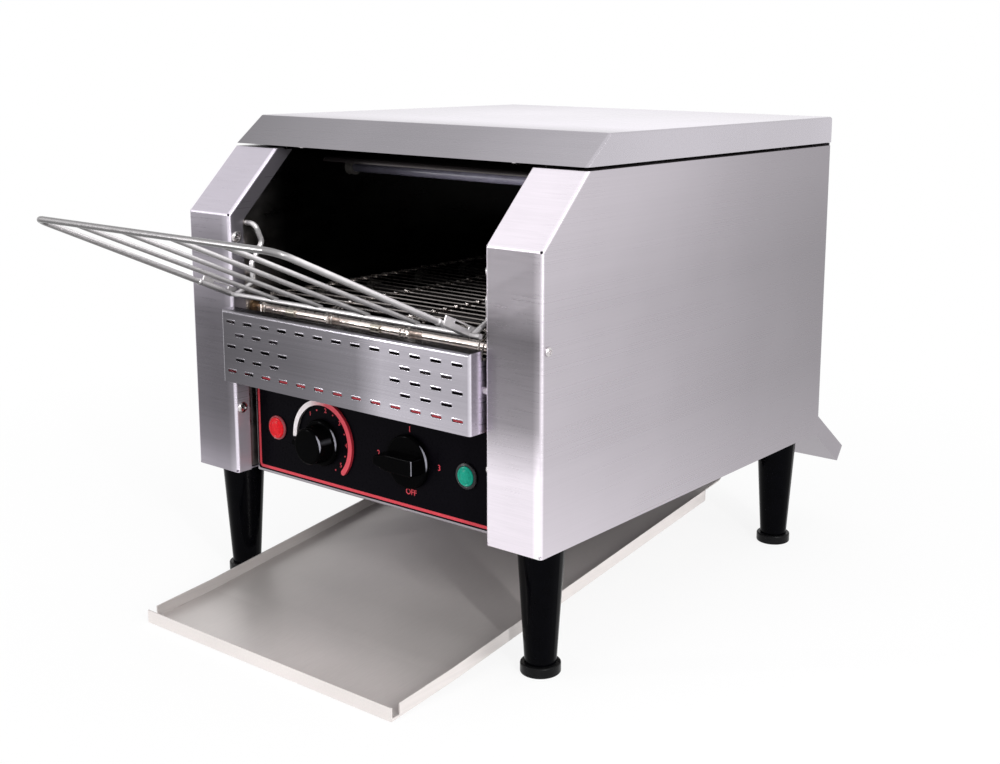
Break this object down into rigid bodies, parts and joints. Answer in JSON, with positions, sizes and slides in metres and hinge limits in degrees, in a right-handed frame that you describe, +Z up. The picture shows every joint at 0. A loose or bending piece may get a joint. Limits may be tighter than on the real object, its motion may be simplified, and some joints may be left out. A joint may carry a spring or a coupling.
{
  "type": "conveyor toaster",
  "caption": "Free-standing conveyor toaster: wire belt through a steel oven, sloping feed rack, slotted guard, knobs and lamps, pull-out toast tray below.",
  "frame": {"origin": "on the bench, at the centre of the whole toaster's footprint with its rack, tray and rear chute", "axes": "+Z up, -Y towards the front where bread is fed in, +X to the right seen from the front"},
  "size_m": [0.3724, 0.6472, 0.387],
  "materials": {
    "housing_steel": "brushed stainless sheet",
    "inner_steel": "bright rolled sheet",
    "tray_steel": "satin stainless sheet",
    "polished_wire": "plated wire",
    "belt_wire": "heat-tinted stainless wire",
    "shaft_steel": "bright bar",
    "bush_brass": "sintered bronze",
    "drive_steel": "oiled steel",
    "motor_paint": "satin paint",
    "heater_glass": "quartz tube",
    "ceramic": "unglazed ceramic",
    "overlay_black": "printed gloss foil",
    "knob_black": "gloss",
    "lens_red": "translucent lens",
    "lens_green": "translucent lens",
    "bezel_grey": "gloss",
    "switch_plastic": "moulded",
    "leg_black": "gloss",
    "foot_black": "satin",
    "screw_steel": "plated"
  },
  "bodies": {
    "toaster_body": {"side_housing_right": "housing_steel", "side_housing_left": "housing_steel", "lid": "housing_steel", "lid_tie_bar": "inner_steel", "oven_wall_right": "inner_steel", "oven_wall_left": "inner_steel", "rear_panel": "housing_steel", "base_plate": "inner_steel", "control_panel": "housing_steel", "control_overlay": "overlay_black", "heat_guard": "housing_steel", "guard_spacers": "drive_steel", "conveyor_belt": "belt_wire", "shaft_bushes": "bush_brass", "drive_chain": "drive_steel", "gear_motor": "motor_paint", "upper_heating_tubes": "heater_glass", "lower_heating_tubes": "heater_glass", "tube_end_caps": "ceramic", "upper_reflector": "inner_steel", "heat_shield": "inner_steel", "toast_deflector": "inner_steel", "lamp_bezels": "bezel_grey", "red_lamp": "lens_red", "green_lamp": "lens_green", "speed_regulator": "switch_plastic", "selector_switch": "switch_plastic", "terminal_block": "switch_plastic", "cable_gland": "switch_plastic", "rack_pins": "screw_steel", "tray_runners": "inner_steel", "rear_chute": "tray_steel", "legs": "leg_black", "leg_nuts": "screw_steel", "housing_screws": "screw_steel"},
    "feed_rack_body": {"feed_rack": "polished_wire"},
    "tray_body": {"toast_tray": "tray_steel"},
    "speed_knob_body": {"speed_knob": "knob_black", "speed_spindle": "shaft_steel"},
    "selector_body": {"selector_knob": "knob_black", "selector_spindle": "shaft_steel"},
    "rear_shaft_body": {"rear_shaft": "shaft_steel", "rear_belt_wheels": "drive_steel", "driven_sprocket": "drive_steel"},
    "front_shaft_body": {"front_shaft": "shaft_steel", "front_belt_wheels": "drive_steel", "shaft_collars": "drive_steel"},
    "motor_shaft_body": {"motor_shaft": "shaft_steel", "motor_pinion": "drive_steel"},
    "foot_front_left_body": {"foot_front_left": "foot_black"},
    "foot_front_right_body": {"foot_front_right": "foot_black"},
    "foot_rear_left_body": {"foot_rear_left": "foot_black"},
    "foot_rear_right_body": {"foot_rear_right": "foot_black"}
  },
  "joints": [
    {"name": "rack_lift", "type": "hinge", "parent": "toaster_body", "child": "feed_rack_body", "pos_m": [0, -0.1315, 0.304], "axis": [-1, 0, 0], "range_deg": [0, 60]},
    {"name": "tray_slide", "type": "slide", "parent": "toaster_body", "child": "tray_body", "axis": [0, -1, 0], "range_m": [0, 0.2]},
    {"name": "speed_knob_turn", "type": "hinge", "parent": "toaster_body", "child": "speed_knob_body", "pos_m": [-0.053, -0.1299, 0.1348], "axis": [0, 1, 0], "range_deg": [0, 270]},
    {"name": "selector_turn", "type": "hinge", "parent": "toaster_body", "child": "selector_body", "pos_m": [0.042, -0.1299, 0.1374], "axis": [0, 1, 0], "range_deg": [-90, 180]},
    {"name": "rear_shaft_spin", "type": "hinge", "parent": "toaster_body", "child": "rear_shaft_body", "pos_m": [0, 0.1956, 0.2335], "axis": [-1, 0, 0], "continuous": true},
    {"name": "front_shaft_spin", "type": "hinge", "parent": "toaster_body", "child": "front_shaft_body", "pos_m": [0, -0.1219, 0.2335], "axis": [-1, 0, 0], "continuous": true},
    {"name": "motor_spin", "type": "hinge", "parent": "toaster_body", "child": "motor_shaft_body", "pos_m": [0.1524, 0.0901, 0.16], "axis": [-1, 0, 0], "continuous": true},
    {"name": "foot_front_left_level", "type": "slide", "parent": "toaster_body", "child": "foot_front_left_body", "axis": [0, 0, -1], "range_m": [0, 0.012]},
    {"name": "foot_rear_left_level", "type": "slide", "parent": "toaster_body", "child": "foot_rear_left_body", "axis": [0, 0, -1], "range_m": [0, 0.012]},
    {"name": "foot_front_right_level", "type": "slide", "parent": "toaster_body", "child": "foot_front_right_body", "axis": [0, 0, -1], "range_m": [0, 0.012]},
    {"name": "foot_rear_right_level", "type": "slide", "parent": "toaster_body", "child": "foot_rear_right_body", "axis": [0, 0, -1], "range_m": [0, 0.012]}
  ],
  "couplings": [
    {"joint": "front_shaft_spin", "follows": "rear_shaft_spin", "ratio": 1},
    {"joint": "motor_spin", "follows": "rear_shaft_spin", "ratio": 1.6}
  ]
}
